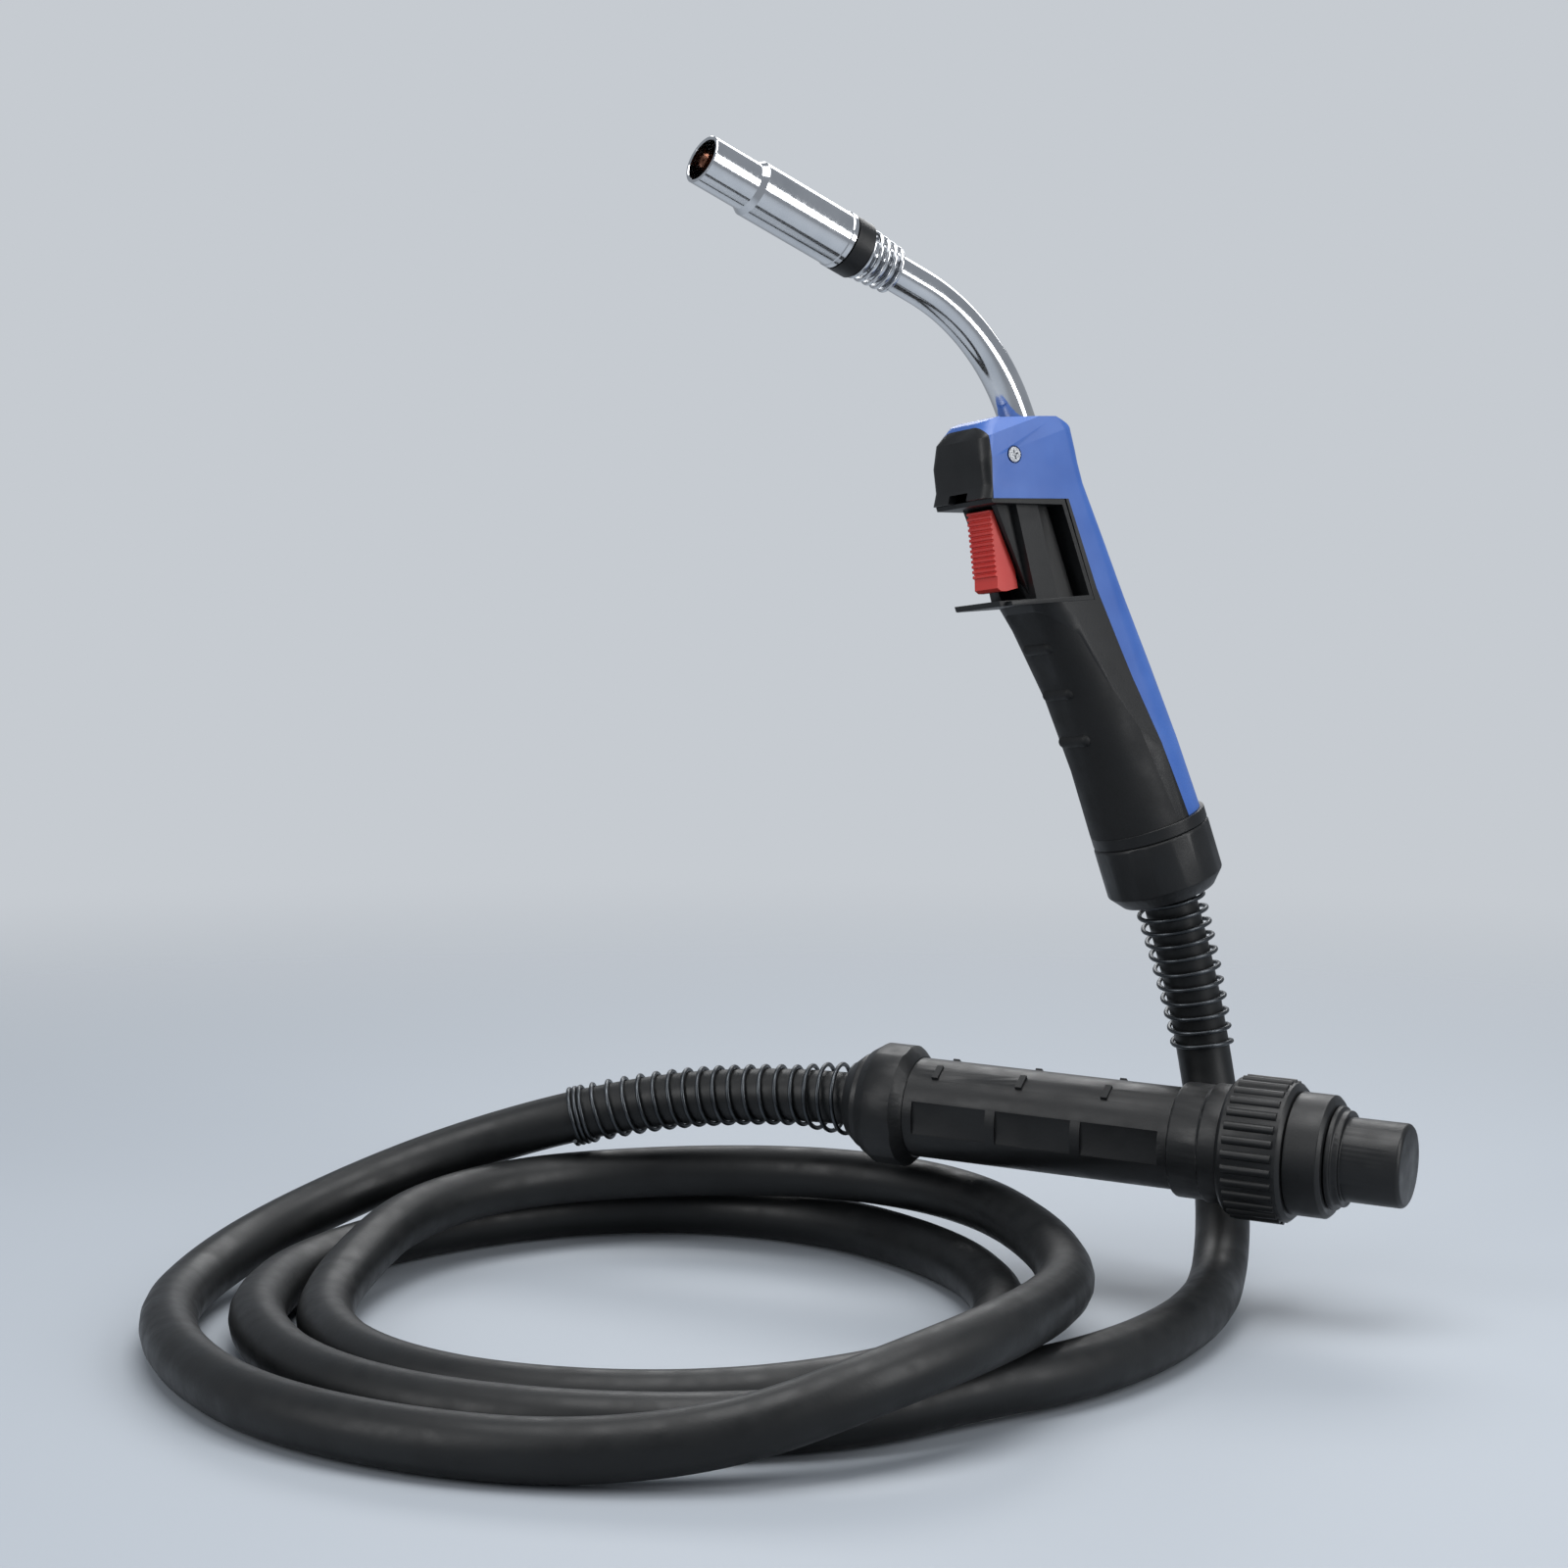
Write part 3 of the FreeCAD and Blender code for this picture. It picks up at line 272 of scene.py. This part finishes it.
# %% Colour and node helpers
def linear(code):
    """An sRGB hex colour as the shader's linear colour."""
    parts = [int(code[i:i + 2], 16) / 255 for i in (1, 3, 5)]
    return (*[c / 12.92 if c <= 0.04045 else ((c + 0.055) / 1.055) ** 2.4 for c in parts], 1.0)


def add(tree, kind, settings=(), links=()):
    """A new node. Settings are (property or input, value), links are (input, output socket)."""
    node = tree.nodes.new("ShaderNode" + kind)
    for key, value in settings:
        if isinstance(key, str) and hasattr(node, key):
            setattr(node, key, value)
        else:
            node.inputs[key].default_value = value
    for key, socket in links:
        tree.links.new(socket, node.inputs[key])
    return node


def new_material(name):
    """An empty node material with its Principled shader and output joined."""
    made = bpy.data.materials.new(name)
    made.use_nodes = True
    tree = made.node_tree
    tree.nodes.clear()
    shader = add(tree, "BsdfPrincipled")
    add(tree, "OutputMaterial", links=[("Surface", shader.outputs["BSDF"])])
    return made, tree, shader


def join(tree, source, node, name):
    """One link into a named input."""
    tree.links.new(source, node.inputs[name])


def grain(tree, coords, size_mm, detail=2.0, stretch=(1, 1, 1)):
    """Noise whose lumps are about size_mm across."""
    scaled = add(tree, "Mapping", [("Scale", stretch)], [("Vector", coords)])
    return add(tree, "TexNoise", [("Scale", 1.0 / (size_mm * MM)), ("Detail", detail)],
               [("Vector", scaled.outputs["Vector"])]).outputs["Fac"]


def ranged(tree, source, low, high, start=0.3, end=0.7):
    """The source's start to end, spread over low to high."""
    return add(tree, "MapRange", [("From Min", start), ("From Max", end), ("To Min", low),
                                  ("To Max", high)], [("Value", source)]).outputs["Result"]


def blended(tree, factor, first, second):
    """Two colours mixed by a factor. Either may be a hex value or a socket."""
    mix = add(tree, "Mix", [("data_type", "RGBA")], [(0, factor)])
    for key, value in ((6, first), (7, second)):
        if isinstance(value, str):
            mix.inputs[key].default_value = linear(value)
        else:
            tree.links.new(value, mix.inputs[key])
    return mix.outputs[2]


# %% [markdown]
# ## Moulded plastics and rubbers
#
# The handle shells are ABS, the nuts and the plug are glass-filled nylon, the grip is a soft
# elastomer and the cable jacket is rubber. All were shaped in a steel mould that leaves a fine
# spark-eroded grain, drawn here at 0.5 to 0.9 mm because the real 0.1 mm would not show. Slow
# changes of tone and gloss come from handling and dust.

# %% Moulded finish
def moulded(name, colour, worn, roughness, grain_mm, depth_mm, ior=1.5, scuffs=0.5, level=0.5):
    """Moulded plastic: its colour, a worn tone, gloss that varies, and a fine grain."""
    made, tree, shader = new_material(name)
    coords = add(tree, "TexCoord").outputs["Object"]
    tone = ranged(tree, grain(tree, coords, 22.0, 3.0), 0.0, 1.0)
    rubs = ranged(tree, grain(tree, coords, 7.0, 6.0, (1.0, 1.0, 0.35)), 0.0, scuffs, 0.55, 0.8)
    base = blended(tree, tone, colour, worn)
    lit = blended(tree, rubs, base, worn)
    join(tree, lit, shader, "Base Color")
    gloss = ranged(tree, grain(tree, coords, 9.0, 4.0), roughness - 0.07, roughness + 0.09)
    join(tree, gloss, shader, "Roughness")
    bump = add(tree, "Bump", [("Strength", 0.35), ("Distance", depth_mm * MM)],
               [("Height", grain(tree, coords, grain_mm, 2.0))])
    join(tree, bump.outputs["Normal"], shader, "Normal")
    shader.inputs["IOR"].default_value = ior
    shader.inputs["Specular IOR Level"].default_value = level
    return made


abs_blue = moulded("abs_blue", "#2F569E", "#3B62AA", 0.42, 0.6, 0.035, 1.53, 0.25)
abs_red = moulded("abs_red", "#B92622", "#C43A32", 0.40, 0.6, 0.05, 1.53, 0.35)
nylon_black = moulded("nylon_black", "#0B0C0D", "#131415", 0.42, 0.7, 0.10, 1.53, 0.5, 0.32)
elastomer_black = moulded("elastomer_black", "#090A0B", "#101112", 0.58, 0.9, 0.14, 1.5, 0.4, 0.32)
oring_rubber = moulded("oring_rubber", "#0F0F10", "#161617", 0.45, 0.6, 0.03, 1.5, 0.2)
white_plastic = moulded("white_plastic", "#D9D8D0", "#C9C7BC", 0.40, 0.8, 0.03, 1.5, 0.3)
grey_plastic = moulded("grey_plastic", "#6E7276", "#7C8084", 0.45, 0.7, 0.05, 1.5, 0.4)
cable_jacket = moulded("cable_jacket", "#08090A", "#101213", 0.46, 1.1, 0.10, 1.52, 0.55, 0.32)

# %% [markdown]
# ## Metals
#
# The neck and the nozzle are copper and brass with bright chrome on them, so they mirror the
# studio. Turned parts keep fine tool marks and the guards are drawn spring wire.

# %% Metal finish
def polished(name, colour, tint, roughness, scratch_mm, depth_mm, stretch=(1, 1, 1)):
    """Metal: its colour, a second tone, and scratches or tool marks that run one way."""
    made, tree, shader = new_material(name)
    coords = add(tree, "TexCoord").outputs["Object"]
    tone = ranged(tree, grain(tree, coords, 14.0, 4.0), 0.0, 1.0)
    join(tree, blended(tree, tone, colour, tint), shader, "Base Color")
    shader.inputs["Metallic"].default_value = 1.0
    marks = grain(tree, coords, scratch_mm, 5.0, stretch)
    join(tree, ranged(tree, marks, roughness * 0.7, roughness * 1.5), shader, "Roughness")
    bump = add(tree, "Bump", [("Strength", 0.2), ("Distance", depth_mm * MM)], [("Height", marks)])
    join(tree, bump.outputs["Normal"], shader, "Normal")
    return made


chrome_plate = polished("chrome_plate", "#D9DADC", "#CBCDD0", 0.09, 1.2, 0.01)
zinc_plate = polished("zinc_plate", "#B9BBBE", "#A9ACB0", 0.24, 0.8, 0.02)
spring_wire = polished("spring_wire", "#505356", "#3B3E41", 0.34, 0.7, 0.03)
turned_brass = polished("turned_brass", "#CFA85A", "#BE9850", 0.22, 0.6, 0.02)
turned_copper = polished("turned_copper", "#C47E5A", "#B06C4B", 0.26, 0.6, 0.02)

# %% Finishes of the frame's own parts
FINISHES = {
    nylon_black: ["nozzle_insulator"],
    grey_plastic: ["micro_switch"],
    white_plastic: ["switch_plunger", "wire_liner", "gas_diffuser"],
    oring_rubber: ["nipple_oring"],
    chrome_plate: ["swan_neck", "gas_nozzle", "nozzle_spring"],
    zinc_plate: ["trigger_pin", "head_screw", "head_screw_nut"],
    turned_brass: ["cable_crimp", "current_block", "tip_holder", "plug_core", "gas_nipple",
                   "contact_pin_a", "contact_pin_b"],
    turned_copper: ["neck_conductor", "contact_tip"],
}
for finish, nodes in FINISHES.items():
    for node in nodes:
        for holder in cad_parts[node].material_slots:
            holder.material = finish
welding_cable.data.materials.append(cable_jacket)
for guard in (handle_guard, plug_guard):
    guard.data.materials.append(spring_wire)

# %% [markdown]
# ## Softened edges
#
# A moulded part has no sharp edges: its mould is polished to a radius of 0.3 to 0.8 mm, and that
# radius catches a thin line of light. Each plastic part is drawn as a copy of its node with the
# flat faces joined and a small bevel on the edges that are left.

# %% Softened copies of the moulded parts
SAME_POINT = 0.01 * MM
SAME_FACE = math.radians(0.5)
SHARP_EDGE = math.radians(34)


def softened(node, width_mm, finish, body):
    """A copy of a node with its flat faces joined and its edges rounded."""
    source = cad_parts[node]
    copied = bmesh.new()
    copied.from_mesh(source.data)
    copied.transform(source.matrix_world)
    bmesh.ops.remove_doubles(copied, verts=copied.verts, dist=SAME_POINT)
    bmesh.ops.dissolve_limit(copied, angle_limit=SAME_FACE, verts=copied.verts,
                             edges=copied.edges, use_dissolve_boundaries=False)
    mesh = bpy.data.meshes.new(node + "_soft")
    copied.to_mesh(mesh)
    copied.free()
    for face in mesh.polygons:
        face.use_smooth = True
    mesh.set_sharp_from_angle(angle=SHARP_EDGE)
    mesh.materials.append(finish)
    part = bpy.data.objects.new(node + "_soft", mesh)
    bpy.context.scene.collection.objects.link(part)
    rounding = part.modifiers.new("rounding", "BEVEL")
    rounding.width = width_mm * MM
    rounding.segments = 2
    rounding.limit_method = "ANGLE"
    rounding.angle_limit = SHARP_EDGE
    rounding.harden_normals = True
    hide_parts(node)
    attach(part, body)
    return part


SOFT_PARTS = [
    ("handle_shell_left", 0.45, nylon_black, "body_black", ROOT),
    ("handle_shell_right", 0.45, nylon_black, "body_black", ROOT),
    ("back_cover", 0.45, abs_blue, "shell_blue", ROOT),
    ("soft_grip", 0.35, elastomer_black, "grip_black", ROOT),
    ("switch_housing", 0.35, nylon_black, "body_black", ROOT),
    ("handle_nut", 0.6, nylon_black, "body_black", ROOT),
    ("handle_ring", 0.5, nylon_black, "body_black", ROOT),
    ("trigger", 0.35, abs_red, "trigger_red", "trigger"),
    ("plug_rear_nut", 0.5, nylon_black, "body_black", ROOT),
    ("plug_ring_nut", 0.5, nylon_black, "body_black", ROOT),
    ("plug_housing", 0.4, nylon_black, "body_black", ROOT),
    ("plug_end_ring", 0.6, nylon_black, "body_black", ROOT),
    ("plug_front_ring", 0.5, nylon_black, "body_black", ROOT),
    ("collar_nut", 0.25, nylon_black, "body_black", "collar"),
    ("plug_cap", 0.5, nylon_black, "body_black", "cap"),
]
for node, width, finish, slot, body in SOFT_PARTS:
    softened(node, width, finish, body)

# %% [markdown]
# ## Small springs
#
# The spring behind the trigger and the two behind the contacts are drawn as copies of their
# nodes in spring wire, each with a mesh of its own.

# %% Copies of the small springs
def sprung(node):
    """A copy of a spring in spring wire, with a mesh of its own."""
    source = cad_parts[node]
    mesh = source.data.copy()
    mesh.transform(source.matrix_world)
    mesh.name = node + "_wire"
    mesh.materials.clear()
    mesh.materials.append(spring_wire)
    part = bpy.data.objects.new(node + "_wire", mesh)
    bpy.context.scene.collection.objects.link(part)
    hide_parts(node)
    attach(part, ROOT)
    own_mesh(part)
    return part


sprung("trigger_spring")
contact_springs = [sprung("contact_spring_" + k)
                   for k in "ab"]

# %% [markdown]
# ## Studio
#
# The floor is one pale sheet that fades out with distance, so no horizon shows behind the torch.
# Large soft lamps stand above, to the left and to the right, which gives chrome something broad
# to mirror and keeps the black plastic readable.

# %% Floor
FLOOR_HALF = 4.0
FLOOR_DROP = 0.4 * MM
FADE_FROM, FADE_TO = 0.4, 1.5
floor_mesh = bpy.data.meshes.new("floor")
sheet = bmesh.new()
bmesh.ops.create_grid(sheet, x_segments=1, y_segments=1, size=FLOOR_HALF)
sheet.to_mesh(floor_mesh)
sheet.free()
floor = bpy.data.objects.new("floor", floor_mesh)
floor.location.z = -FLOOR_DROP
bpy.context.scene.collection.objects.link(floor)

BACKDROP = "#C6CBD1"
FLOOR_TONE = "#9DA3AA"
floor_paint, tree, shader = new_material("floor_paint")
shader.inputs["Base Color"].default_value = linear(FLOOR_TONE)
shader.inputs["Roughness"].default_value = 0.55
shader.inputs["Specular IOR Level"].default_value = 0.25
reach = add(tree, "VectorMath", [("operation", "LENGTH")],
            [(0, add(tree, "TexCoord").outputs["Object"])]).outputs["Value"]
fade = add(tree, "MapRange", [("interpolation_type", "SMOOTHSTEP"), ("From Min", FADE_FROM),
                              ("From Max", FADE_TO)], [("Value", reach)]).outputs["Result"]
clear = add(tree, "BsdfTransparent")
mixed = add(tree, "MixShader", links=[(0, fade), (1, shader.outputs["BSDF"]),
                                      (2, clear.outputs["BSDF"])])
ending = next(node for node in tree.nodes if node.type == "OUTPUT_MATERIAL")
join(tree, mixed.outputs["Shader"], ending, "Surface")
floor.data.materials.append(floor_paint)

# %% World and lamps
world = bpy.data.worlds.new("studio")
bpy.context.scene.world = world
world.use_nodes = True
tree = world.node_tree
tree.nodes.clear()
path = add(tree, "LightPath")
room = add(tree, "Background", [("Color", linear("#AEB4BC")), ("Strength", 0.75)])
seen = add(tree, "Background", [("Color", linear(BACKDROP)), ("Strength", 1.0)])
view = add(tree, "MixShader", links=[(0, path.outputs["Is Camera Ray"]),
                                     (1, room.outputs["Background"]),
                                     (2, seen.outputs["Background"])])
add(tree, "OutputWorld", links=[("Surface", view.outputs["Shader"])])


def soft_lamp(name, place, aim, size, power, colour="#FFFFFF"):
    """A rectangular area lamp at a place, turned to a point."""
    lamp = bpy.data.lights.new(name, "AREA")
    lamp.shape = "RECTANGLE"
    lamp.size, lamp.size_y = size
    lamp.energy = power
    lamp.color = linear(colour)[:3]
    holder = bpy.data.objects.new(name, lamp)
    holder.location = place
    holder.rotation_euler = (Vector(aim) - Vector(place)).to_track_quat("-Z", "Y").to_euler()
    bpy.context.scene.collection.objects.link(holder)


CENTRE = (0.04, 0.0, 0.18)
soft_lamp("top_lamp", (0.1, -0.1, 1.6), CENTRE, (1.4, 1.0), 22.0)
soft_lamp("left_lamp", (-1.3, -0.9, 0.9), CENTRE, (0.7, 1.1), 12.0)
soft_lamp("right_lamp", (1.25, -0.7, 0.8), CENTRE, (0.5, 1.2), 13.0)
soft_lamp("back_lamp", (0.3, 1.3, 1.0), CENTRE, (1.2, 0.5), 9.0)
bpy.context.scene.view_settings.view_transform = "Standard"
